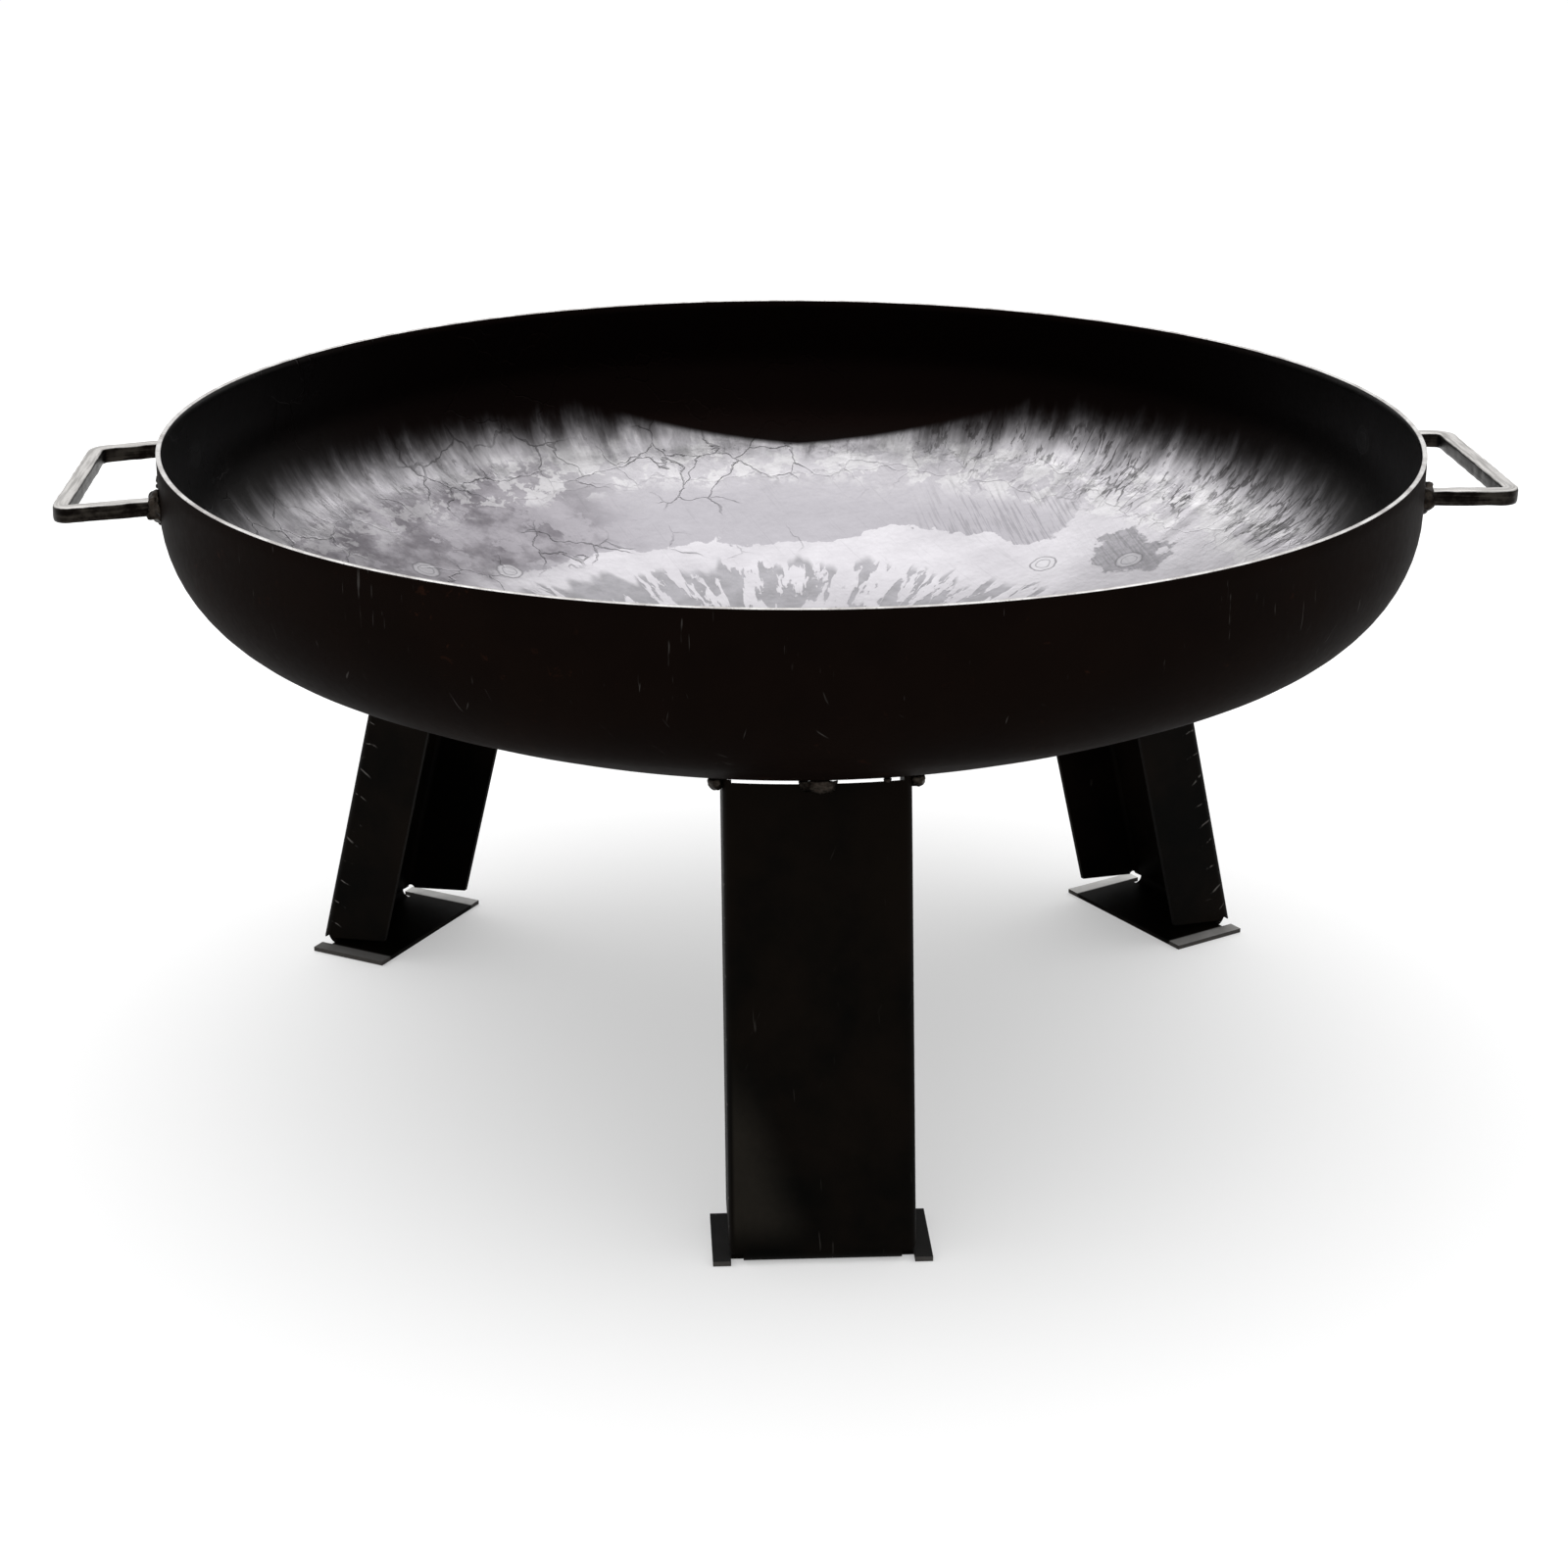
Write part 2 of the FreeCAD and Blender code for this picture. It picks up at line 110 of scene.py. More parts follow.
class Shader:
    """One material made of nodes, with short names for the kinds of node used here."""

    def __init__(self, name, **values):
        self.material = bpy.data.materials.new(name)
        self.material.use_nodes = True
        self.tree = self.material.node_tree
        self.tree.nodes.clear()
        self.bsdf = self.node("ShaderNodeBsdfPrincipled")
        output = self.node("ShaderNodeOutputMaterial")
        self.tree.links.new(self.bsdf.outputs[0], output.inputs[0])
        for socket, value in values.items():
            self.set(socket.replace("_", " "), value)

    def node(self, kind, **settings):
        made = self.tree.nodes.new(kind)
        for key, value in settings.items():
            setattr(made, key, value)
        return made

    def put(self, socket, value):
        if isinstance(value, bpy.types.NodeSocket):
            self.tree.links.new(value, socket)
        else:
            socket.default_value = value

    def set(self, socket, value):
        self.put(self.bsdf.inputs[socket], value)

    def math(self, operation, *values):
        made = self.node("ShaderNodeMath", operation=operation)
        for socket, value in zip(made.inputs, values):
            self.put(socket, value)
        return made.outputs[0]

    def add(self, *values):
        total = values[0]
        for value in values[1:]:
            total = self.math("ADD", total, value)
        return total

    def times(self, *values):
        total = values[0]
        for value in values[1:]:
            total = self.math("MULTIPLY", total, value)
        return total

    def clamp(self, value):
        made = self.node("ShaderNodeClamp")
        self.put(made.inputs[0], value)
        return made.outputs[0]

    def vector(self, operation, *values):
        made = self.node("ShaderNodeVectorMath", operation=operation)
        for socket, value in zip(made.inputs, values):
            self.put(socket, value)
        return made.outputs["Value" if operation in ("LENGTH", "DISTANCE", "DOT_PRODUCT") else "Vector"]

    def place(self):
        return self.node("ShaderNodeTexCoord").outputs["Object"]

    def normal(self):
        return self.node("ShaderNodeNewGeometry").outputs["Normal"]

    def split(self, vector):
        made = self.node("ShaderNodeSeparateXYZ")
        self.put(made.inputs[0], vector)
        return made.outputs[0], made.outputs[1], made.outputs[2]

    def join(self, x, y, z):
        made = self.node("ShaderNodeCombineXYZ")
        for socket, value in zip(made.inputs, (x, y, z)):
            self.put(socket, value)
        return made.outputs[0]

    def turned(self, vector, degrees):
        """The vector in a frame turned by that many degrees about Z."""
        made = self.node("ShaderNodeVectorRotate", rotation_type="Z_AXIS")
        self.put(made.inputs["Vector"], vector)
        made.inputs["Angle"].default_value = math.radians(-degrees)
        return made.outputs[0]

    def attribute(self, name):
        return self.node("ShaderNodeAttribute", attribute_name=name).outputs["Fac"]

    def noise(self, vector, scale, detail=3.0, roughness=0.5):
        made = self.node("ShaderNodeTexNoise")
        self.put(made.inputs["Vector"], vector)
        for socket, value in (("Scale", scale), ("Detail", detail), ("Roughness", roughness)):
            made.inputs[socket].default_value = value
        return made.outputs[0]

    def edges(self, vector, scale):
        """The distance to the nearest border between random cells."""
        made = self.node("ShaderNodeTexVoronoi", feature="DISTANCE_TO_EDGE")
        self.put(made.inputs["Vector"], vector)
        made.inputs["Scale"].default_value = scale
        return made.outputs["Distance"]

    def step(self, value, low, high):
        """0 below low and 1 above high, smooth in between. low above high turns it round."""
        made = self.node("ShaderNodeMapRange", interpolation_type="SMOOTHSTEP")
        for socket, number in zip(made.inputs, (value, low, high, 0.0, 1.0)):
            self.put(socket, number)
        return made.outputs[0]

    def window(self, value, start, full, fade, end):
        """1 between full and fade, and 0 before start and after end."""
        return self.times(self.step(value, start, full), self.step(value, end, fade))

    def spread(self, value, low, high):
        """value from 0..1 onto low..high."""
        made = self.node("ShaderNodeMapRange")
        for socket, number in zip(made.inputs, (value, 0.0, 1.0, low, high)):
            self.put(socket, number)
        return made.outputs[0]

    def mix(self, factor, first, second):
        made = self.node("ShaderNodeMix", data_type="RGBA")
        self.put(made.inputs[0], factor)
        for socket, colour in ((made.inputs[6], first), (made.inputs[7], second)):
            self.put(socket, colour if isinstance(colour, bpy.types.NodeSocket) else (*colour, 1.0))
        return made.outputs[2]

    def bump(self, height, distance, strength=1.0):
        made = self.node("ShaderNodeBump")
        self.put(made.inputs["Height"], height)
        made.inputs["Distance"].default_value = distance
        made.inputs["Strength"].default_value = strength
        self.set("Normal", made.outputs[0])

    def warped(self, vector, scale, amount):
        """The vector pushed about by noise, so that straight edges turn ragged."""
        made = self.node("ShaderNodeTexNoise")
        self.put(made.inputs["Vector"], vector)
        made.inputs["Scale"].default_value = scale
        shift = self.vector("SCALE", self.vector("SUBTRACT", made.outputs["Color"], (0.5, 0.5, 0.5)))
        shift.node.inputs["Scale"].default_value = amount
        return self.vector("ADD", vector, shift)

    def scratches(self, vector, degrees, fine, along, low, high):
        """Thin lines at that angle: 1 on a scratch."""
        turned = self.turned(vector, degrees)
        stretched = self.vector("MULTIPLY", turned, (along, fine, along))
        return self.step(self.noise(stretched, 1.0, 2.0, 0.6), low, high)


# ---------------------------------------------------------------- materials

BRIGHT, LILAC, GREY = (0.53, 0.515, 0.54), (0.345, 0.332, 0.357), (0.235, 0.23, 0.243)
# the second of these is the wall's near-black: black scale and a painted dark reflection
DARK, BLACK_SCALE_AND_DARK_REFLECTION = (0.1, 0.098, 0.105), (0.0026, 0.0015, 0.0013)


class DishFields:
    """What the layers of the inside share: azimuth in degrees, arc length from the centre in mm, and noises.
    The front half mirrors the back half."""

    def __init__(self, s):
        self.s = s
        self.p = s.place()
        x, y, _ = s.split(self.p)
        self.r = s.math("SQRT", s.add(s.times(x, x), s.times(y, y), 1e-8))
        self.azimuth = s.times(s.math("ARCTAN2", s.math("ABSOLUTE", y), x), DEGREES)
        self.arc = s.times(s.attribute("arc"), 1.0 / MM)
        self.ux, self.uy = s.math("DIVIDE", x, self.r), s.math("DIVIDE", y, self.r)
        self.coarse = s.noise(self.p, 18.0, 4.0, 0.55)
        self.medium = s.noise(self.p, 55.0, 4.0, 0.6)
        self.fine = s.noise(self.p, 260.0, 3.0, 0.6)
        self.ragged = s.noise(s.warped(self.p, 70.0, 0.008), 34.0, 6.0, 0.62)
        self.edge = s.add(self.arc, s.times(self.centred(self.coarse), 40.0),
                          s.times(self.centred(self.medium), 24.0))

    def centred(self, value):
        return self.s.add(value, -0.5)

    def wheel(self, around, outward):
        """Coordinates that run round the dish and outwards, so that noise forms spokes."""
        s = self.s
        return s.join(s.times(self.ux, around), s.times(self.uy, around), s.times(self.arc, outward))


def scale_fingers(s, f, colour):
    """Fingers of thicker scale that run outwards over the crown, each as long as it happens to be."""
    fingers = s.noise(s.warped(f.wheel(13.5, 0.016), 2.2, 0.6), 1.0, 4.0, 0.62)
    ends = s.add(f.arc, s.times(f.centred(s.noise(f.wheel(9.0, 0.0), 1.0, 2.0)), 90.0))
    fingers = s.times(s.step(s.add(fingers, s.times(f.centred(f.ragged), 0.22)), 0.475, 0.5),
                      s.window(ends, 60.0, 110.0, 218.0, 230.0))
    tone = s.mix(s.step(f.medium, 0.35, 0.65), GREY, (0.31, 0.302, 0.322))
    return s.mix(s.times(fingers, 0.9), colour, tone), fingers


def broad_patch(s, f, colour):
    """One broad lilac-grey patch at the back, lower at its right-hand end."""
    drop = s.times(s.step(f.azimuth, 82.0, 66.0), 26.0)
    high = s.add(f.edge, s.times(drop, -1.0))
    zone = s.times(s.window(high, 244.0, 262.0, 318.0, 352.0), s.window(f.azimuth, 38.0, 52.0, 128.0, 150.0))
    patch = s.step(s.add(s.times(f.ragged, 0.55), s.times(zone, 0.5), s.times(f.medium, 0.12)), 0.57, 0.6)
    patch = s.times(patch, s.window(f.edge, 238.0, 246.0, 345.0, 372.0))
    rise = s.step(s.add(f.arc, s.times(f.centred(f.medium), 60.0)), 285.0, 350.0)
    return s.mix(s.times(patch, 0.95), colour, s.mix(rise, LILAC, (0.44, 0.425, 0.45))), patch


def left_mottling(s, f, colour):
    """Softer and darker mottling to the left of the patch."""
    pale = (0.29, 0.275, 0.297)
    left = s.times(s.window(f.azimuth, 104.0, 128.0, 176.0, 186.0),
                   s.window(f.edge, 244.0, 272.0, 356.0, 388.0))
    cloud = s.mix(s.step(s.noise(f.p, 24.0, 5.0, 0.62), 0.36, 0.62), (0.11, 0.1, 0.113), pale)
    scraps = s.times(s.step(s.noise(s.warped(f.p, 50.0, 0.01), 30.0, 6.0, 0.65), 0.54, 0.565), 0.7)
    return s.mix(s.times(left, 0.93), colour, s.mix(scraps, cloud, pale))


def weld_smudge(s, f, colour):
    """A grey smudge by the right-hand weld marks."""
    sideways, upwards = s.times(s.add(f.azimuth, -31.0), 0.13), s.times(s.add(f.arc, -302.0), 0.034)
    reach = s.math("SQRT", s.add(s.times(sideways, sideways), s.times(upwards, upwards)))
    reach = s.add(reach, s.times(f.centred(f.ragged), -2.6), s.times(f.centred(f.coarse), -1.5))
    smudge = s.step(reach, 0.8, 0.7)
    tone = s.mix(s.step(f.fine, 0.4, 0.6), GREY, (0.28, 0.27, 0.29))
    return s.mix(s.times(smudge, 0.85), colour, tone), smudge


def knuckle_blotches(s, f, colour):
    """White blotches at the foot of the knuckle, and grey streaks above them."""
    foot = s.window(f.edge, 318.0, 338.0, 372.0, 392.0)
    blotch = s.step(s.noise(s.warped(f.wheel(14.0, 0.045), 2.0, 0.9), 1.0, 5.0, 0.62), 0.49, 0.54)
    strength = s.spread(s.step(f.azimuth, 140.0, 112.0), 0.3, 0.75)
    colour = s.mix(s.times(blotch, foot, strength), colour, (0.6, 0.59, 0.6))
    streaks = s.noise(s.warped(f.wheel(19.0, 0.022), 1.5, 0.7), 1.0, 4.0, 0.6)
    place = s.window(f.edge, 346.0, 366.0, 420.0, 440.0)
    return s.mix(s.times(s.step(streaks, 0.5, 0.6), place, 0.42), colour, GREY), foot


def crack_loops(s, f, colour, foot):
    """Thin cracks that close into loops."""
    crack = s.edges(s.warped(s.warped(f.p, 34.0, 0.03), 150.0, 0.005), 24.0)
    place = s.times(s.step(s.noise(f.p, 13.0, 2.0), 0.46, 0.58), s.step(f.edge, 232.0, 252.0),
                    s.step(f.azimuth, 66.0, 104.0))
    loops = s.times(s.step(crack, 0.022, 0.006), s.clamp(s.add(place, s.times(foot, 0.3))))
    return s.mix(s.times(loops, 0.5), colour, DARK), loops


def knuckle_wrinkles(s, f, colour):
    """Short wrinkles that run outwards in the knuckle, and dark branching wisps over the same ground."""
    ridges = s.noise(s.warped(f.wheel(66.0, 0.06), 1.6, 1.2), 1.0, 3.0, 0.55)
    place = s.times(s.window(f.edge, 355.0, 372.0, 395.0, 418.0),
                    s.math("MAXIMUM", s.window(f.azimuth, 4.0, 14.0, 66.0, 80.0),
                           s.times(s.step(f.coarse, 0.45, 0.6), 0.6)))
    colour = s.mix(s.times(s.step(ridges, 0.56, 0.62), place, 0.62), colour, (0.06, 0.058, 0.06))
    wisps = s.edges(s.warped(s.warped(f.wheel(26.0, 0.02), 2.0, 0.9), 9.0, 0.16), 1.0)
    wisp_place = s.times(s.window(f.edge, 332.0, 356.0, 400.0, 425.0), s.step(f.coarse, 0.45, 0.58),
                         s.window(f.azimuth, 3.0, 12.0, 62.0, 76.0))
    colour = s.mix(s.times(s.step(wisps, 0.06, 0.02), wisp_place, 0.72), colour, (0.035, 0.033, 0.034))
    return colour, s.times(ridges, place)


def dish_scratches(s, f, colour, patch, smudge):
    """Scratches, most of them across the patch and the smudge."""
    where = s.times(s.window(f.azimuth, 22.0, 30.0, 60.0, 72.0), s.window(f.edge, 262.0, 276.0, 330.0, 345.0),
                    s.clamp(s.add(patch, smudge, 0.12)))
    hatch = s.times(s.scratches(f.p, -80.0, 420.0, 18.0, 0.5, 0.58), where)
    other = s.scratches(f.p, -64.0, 700.0, 16.0, 0.62, 0.7)
    return s.mix(s.times(s.clamp(s.add(hatch, s.times(other, 0.35))), 0.3), colour, DARK)


def black_wall_and_painted_reflection(s, f, colour):
    """Up the wall the colour is painted near-black, black scale and a painted dark reflection together, with a
    tongue of painted dark reflection at the middle of the back.
    """
    spokes = s.noise(s.warped(f.wheel(21.0, 0.012), 1.2, 0.5), 1.0, 4.0, 0.62)
    reach = s.add(f.arc, s.times(f.centred(spokes), 44.0), s.times(f.centred(f.medium), 10.0),
                  s.times(s.step(f.azimuth, 96.0, 140.0), -8.0),
                  s.times(s.window(f.azimuth, 2.0, 16.0, 50.0, 68.0), -14.0))
    # the fade line moves with azimuth, following where the painted dark reflection begins
    soft = s.step(reach, 420.0, 348.0)
    # the tongue at the middle of the back is a painted dark reflection
    off = s.math("ABSOLUTE", s.add(f.azimuth, -86.0))
    painted_reflection_tongue = s.step(s.add(f.arc, s.times(off, -0.7), s.times(off, off, -0.05)), 373.0, 366.0)
    colour = s.mix(s.times(soft, soft, painted_reflection_tongue), BLACK_SCALE_AND_DARK_REFLECTION, colour)
    speckle = s.spread(f.fine, 0.9, 1.08)
    return s.vector("MULTIPLY", colour, s.join(speckle, speckle, speckle))


def heat_marks(s, f, colour):
    """Marks left on the inside by the welds outside, fainter up the wall, where it is painted near-black with a
    painted dark reflection.
    """
    ring, heart = heat_rings(s, f.p, f.r)
    up_wall = s.step(f.arc, 380.0, 400.0)
    colour = s.mix(s.times(heart, 0.55), colour, s.mix(up_wall, (0.5, 0.49, 0.51), (0.016, 0.015, 0.015)))
    return s.mix(s.times(ring, 0.75), colour, s.mix(up_wall, (0.16, 0.155, 0.165), (0.028, 0.027, 0.027)))


def inside_steel():
    """Mill scale on the pressed inside: bright worn crown, lilac-grey patches, and a near-black wall, black scale
    with a painted dark reflection.
    """
    s = Shader("bowl_inside_scale", Metallic=1.0)
    f = DishFields(s)
    colour = s.mix(s.step(f.coarse, 0.3, 0.7), BRIGHT, (0.46, 0.445, 0.47))
    colour, fingers = scale_fingers(s, f, colour)
    colour, patch = broad_patch(s, f, colour)
    colour = left_mottling(s, f, colour)
    colour, smudge = weld_smudge(s, f, colour)
    colour, foot = knuckle_blotches(s, f, colour)
    colour, loops = crack_loops(s, f, colour, foot)
    colour, ridges = knuckle_wrinkles(s, f, colour)
    colour = dish_scratches(s, f, colour, patch, smudge)
    colour = black_wall_and_painted_reflection(s, f, colour)
    s.set("Base Color", heat_marks(s, f, colour))
    s.set("Roughness", s.spread(s.add(s.times(f.medium, 0.6), s.times(f.fine, 0.4)), 0.24, 0.42))
    height = s.add(s.times(f.medium, 0.5), s.times(f.fine, 0.12), s.times(loops, -0.4),
                   s.times(ridges, 1.2), s.times(fingers, 0.12), s.times(patch, 0.1))
    s.bump(height, 0.0009, 0.5)
    return s.material


def heat_rings(s, p, r):
    """Rings round the back of each weld, and their pale hearts. The dish's own symmetry folds the thirteen
    places into three."""
    x, y, _ = s.split(p)
    azimuth = s.times(s.math("ARCTAN2", y, x), DEGREES)
    third = s.add(s.math("FLOORED_MODULO", s.add(azimuth, 30.0), 120.0), -60.0)
    folded = s.times(s.math("ABSOLUTE", third), 1.0 / DEGREES)
    flat = s.join(s.times(r, s.math("COSINE", folded)), s.times(r, s.math("SINE", folded)), 0.0)
    here = s.warped(flat, 90.0, 0.005)
    side = math.radians(WELD_ANGLE_SIDE)
    centre_spot = s.vector("DISTANCE", here, (WELD_RADIUS_CENTRE, 0.0, 0.0))
    side_spot = s.vector("DISTANCE", here,
                         (WELD_RADIUS_SIDE * math.cos(side), WELD_RADIUS_SIDE * math.sin(side), 0.0))
    mirrored = s.warped(s.vector("ABSOLUTE", p), 90.0, 0.005)
    wall_spot = s.vector("DISTANCE", mirrored, (HANDLE_WELD_X, HANDLE_WELD_Y, HANDLE_WELD_Z))
    nearest = s.math("MINIMUM", s.math("MINIMUM", centre_spot, side_spot), wall_spot)
    outer = s.window(nearest, 0.0082, 0.0089, 0.0093, 0.0102)
    inner = s.window(nearest, 0.0046, 0.0051, 0.0054, 0.0060)
    return s.clamp(s.add(outer, s.times(inner, 0.8))), s.step(nearest, 0.0092, 0.0070)


def outside_steel():
    """Black scale outside, faintly brown, with small scuffs."""
    s = Shader("bowl_outside_scale", Specular_IOR_Level=0.008)
    p = s.place()
    coarse = s.noise(p, 14.0, 4.0, 0.6)
    fine = s.noise(p, 190.0, 4.0, 0.6)
    colour = s.mix(coarse, (0.0018, 0.0011, 0.0009), (0.0056, 0.003, 0.0021))
    rust = s.times(s.step(s.noise(s.warped(p, 60.0, 0.02), 85.0, 5.0, 0.65), 0.62, 0.74),
                   s.step(coarse, 0.45, 0.65))
    colour = s.mix(s.times(rust, 0.7), colour, (0.03, 0.0105, 0.0055))
    marks = s.math("MAXIMUM", s.scratches(p, 22.0, 520.0, 30.0, 0.69, 0.74),
                   s.scratches(p, -71.0, 610.0, 40.0, 0.7, 0.75))
    colour = s.mix(s.times(marks, s.step(s.noise(p, 30.0), 0.5, 0.62), 0.6), colour, (0.05, 0.046, 0.043))
    s.set("Base Color", colour)
    s.set("Roughness", s.spread(s.add(s.times(coarse, 0.5), s.times(fine, 0.5)), 0.42, 0.7))
    s.bump(s.add(s.times(coarse, 0.6), s.times(fine, 0.25)), 0.0008, 0.5)
    return s.material


def cut_edge():
    """Bare metal where the rim was cut and dressed."""
    s = Shader("bowl_cut_edge", Metallic=1.0)
    p = s.place()
    medium, fine = s.noise(p, 60.0, 4.0, 0.6), s.noise(p, 700.0, 3.0, 0.6)
    colour = s.mix(s.step(medium, 0.35, 0.7), (0.62, 0.61, 0.6), (0.36, 0.34, 0.33))
    colour = s.mix(s.times(s.step(fine, 0.58, 0.7), 0.6), colour, (0.12, 0.1, 0.09))
    s.set("Base Color", colour)
    s.set("Roughness", s.spread(fine, 0.3, 0.55))
    s.bump(fine, 0.0003, 0.6)
    return s.material


class LegFields:
    """What the layers of a leg share, in the leg's own frame: X outwards, Y across, Z up."""

    def __init__(self, s, angle):
        self.p = s.turned(s.place(), angle)
        self.x, self.y, self.z = s.split(self.p)
        self.nx, self.ny, self.nz = s.split(s.turned(s.normal(), angle))
        self.coarse = s.noise(self.p, 13.0, 4.0, 0.6)
        self.fine = s.noise(self.p, 230.0, 4.0, 0.6)


def scale_cracks(s, f, colour):
    """Cracks in the scale outside the side flanges, slanting down from the bend."""
    web = s.add(LEG_FOOT_RADIUS, s.times(f.z, -math.tan(math.radians(LEG_SPLAY))))
    depth = s.add(web, s.times(f.x, -1.0))
    wander = s.times(s.noise(f.p, 21.0), 0.024)
    run = s.math("FLOORED_MODULO", s.add(f.z, s.times(depth, 0.45), wander), 0.0175)
    outside = s.step(s.times(f.y, f.ny), 0.02, 0.045)
    tick = s.times(s.window(run, 0.0, 0.0003, 0.0009, 0.0013), s.window(depth, 0.004, 0.0065, 0.010, 0.0165),
                   outside, s.window(f.z, 0.012, 0.02, 0.215, 0.24), s.step(s.noise(f.p, 150.0), 0.42, 0.54))
    return s.mix(s.times(tick, 0.85), colour, (0.085, 0.08, 0.074))


def leg_scuffs(s, f, colour):
    """Short scuffs here and there."""
    marks = s.math("MAXIMUM", s.scratches(s.join(f.x, f.y, f.z), 12.0, 480.0, 26.0, 0.69, 0.74),
                   s.scratches(s.join(f.y, f.z, f.x), 65.0, 560.0, 36.0, 0.7, 0.75))
    return s.mix(s.times(marks, s.step(s.noise(f.p, 36.0), 0.5, 0.62), 0.4), colour, (0.035, 0.032, 0.029))


def rubbed_web(s, f, colour):
    """A rubbed patch low on the web, at its left-hand side."""
    right_edge = s.add(s.times(f.z, -0.34), s.times(s.add(f.coarse, -0.5), 0.012))
    rubbed = s.times(s.step(s.add(f.y, s.times(right_edge, -1.0)), 0.006, -0.026), s.step(f.nx, 0.7, 0.9),
                     s.window(f.z, 0.008, 0.03, 0.07, 0.135))
    return s.mix(s.times(rubbed, s.spread(f.fine, 0.5, 0.9)), colour, (0.0155, 0.0135, 0.0108))


def foot_ears_and_painted_light(s, f, colour, name):
    """The ears of the foot: painted light and shade on their tops, in the tones set for each leg, and sheared
    edges.
    """
    above = s.step(f.z, FOOT_THICKNESS + 0.0006, FOOT_THICKNESS + 0.0001)
    ear = s.times(above, s.step(s.math("ABSOLUTE", f.y), LEG_HALF_WIDTH - 0.002, LEG_HALF_WIDTH))
    top = s.times(ear, s.step(f.nz, 0.8, 0.95), s.spread(s.noise(f.p, 90.0), 0.6, 1.0))
    # the ear tops take painted light and shade: paler where the ear is painted as lit
    near, far = EAR_PAINTED_LIGHT[name]
    facing = -1.0 if name == "right" else 1.0
    away = s.step(s.times(f.y, facing), 0.01, -0.01)
    tone = s.mix(away, (near, near * 0.98, near * 0.95), (far, far * 0.99, far * 0.97))
    colour = s.mix(top, colour, tone)
    sheared = s.times(ear, s.step(s.math("ABSOLUTE", f.nz), 0.5, 0.3), s.spread(f.fine, 0.4, 0.9))
    return s.mix(sheared, colour, (0.07, 0.066, 0.062))


def leg_steel(name, angle):
    """Black scale on a folded leg."""
    s = Shader("leg_scale_" + name, Specular_IOR_Level=0.015)
    f = LegFields(s, angle)
    colour = s.mix(s.step(f.coarse, 0.3, 0.7), (0.0011, 0.0011, 0.0009), (0.0044, 0.003, 0.0021))
    colour = scale_cracks(s, f, colour)
    colour = leg_scuffs(s, f, colour)
    colour = rubbed_web(s, f, colour)
    s.set("Base Color", foot_ears_and_painted_light(s, f, colour, name))
    s.set("Roughness", s.spread(s.add(s.times(f.coarse, 0.5), s.times(f.fine, 0.5)), 0.36, 0.6))
    s.bump(s.add(s.times(f.coarse, 0.6), s.times(f.fine, 0.2)), 0.0007, 0.5)
    return s.material


def bare_bar():
    """Square bar: rubbed metal with a painted highlight on the faces that look up, and dark scale with painted
    shade on its sides. Its streaks run along the bar.
    """
    s = Shader("bar_rubbed_and_painted_highlight", Metallic=1.0)
    p = s.place()
    nx, _, nz = s.split(s.normal())
    lengthwise = s.join(s.times(s.attribute("along"), 28.0), s.times(s.attribute("around"), 420.0), 0.0)
    streak = s.noise(lengthwise, 1.0, 4.0)
    medium, fine = s.noise(p, 75.0, 4.0, 0.6), s.noise(p, 420.0, 3.0, 0.6)
    # faces that look up get a painted highlight, the sides painted shade
    up = s.step(s.add(nz, s.times(s.add(medium, -0.5), 0.5)), 0.45, 0.8)
    sides = s.mix(s.step(s.add(s.times(medium, 0.6), s.times(streak, 0.4)), 0.42, 0.6),
                  (0.004, 0.003, 0.0026), (0.03, 0.026, 0.022))
    inward = s.step(s.times(s.vector("DOT_PRODUCT", s.normal(), p), -1.0), 0.25, 0.4)
    sides = s.mix(s.times(inward, s.math("ABSOLUTE", nx), 0.7), sides, (0.06, 0.057, 0.054))
    highlight_tops = s.mix(s.step(streak, 0.4, 0.66), (0.52, 0.505, 0.49), (0.3, 0.29, 0.28))
    highlight_tops = s.mix(s.times(s.step(fine, 0.6, 0.7), 0.4), highlight_tops, (0.2, 0.185, 0.175))
    s.set("Base Color", s.mix(up, sides, highlight_tops))
    s.set("Roughness", s.spread(s.add(s.times(medium, 0.5), s.times(streak, 0.5)), 0.3, 0.6))
    s.bump(s.add(s.times(medium, 0.8), s.times(streak, 0.3), s.times(fine, 0.15)), 0.0006, 0.5)
    return s.material


def weld_metal():
    """Weld beads, grey-brown with darker scale in the hollows."""
    s = Shader("weld_bead", Metallic=1.0)
    p = s.place()
    medium, fine = s.noise(p, 130.0, 4.0, 0.6), s.noise(p, 600.0, 3.0, 0.6)
    colour = s.mix(s.step(medium, 0.36, 0.66), (0.0035, 0.0027, 0.0022), (0.034, 0.028, 0.023))
    colour = s.mix(s.times(s.step(fine, 0.55, 0.7), 0.5), colour, (0.02, 0.01, 0.007))
    s.set("Base Color", colour)
    s.set("Roughness", s.spread(fine, 0.35, 0.6))
    s.bump(s.add(s.times(medium, 0.6), s.times(fine, 0.3)), 0.0006, 0.6)
    return s.material


# ---------------------------------------------------------------- shapes

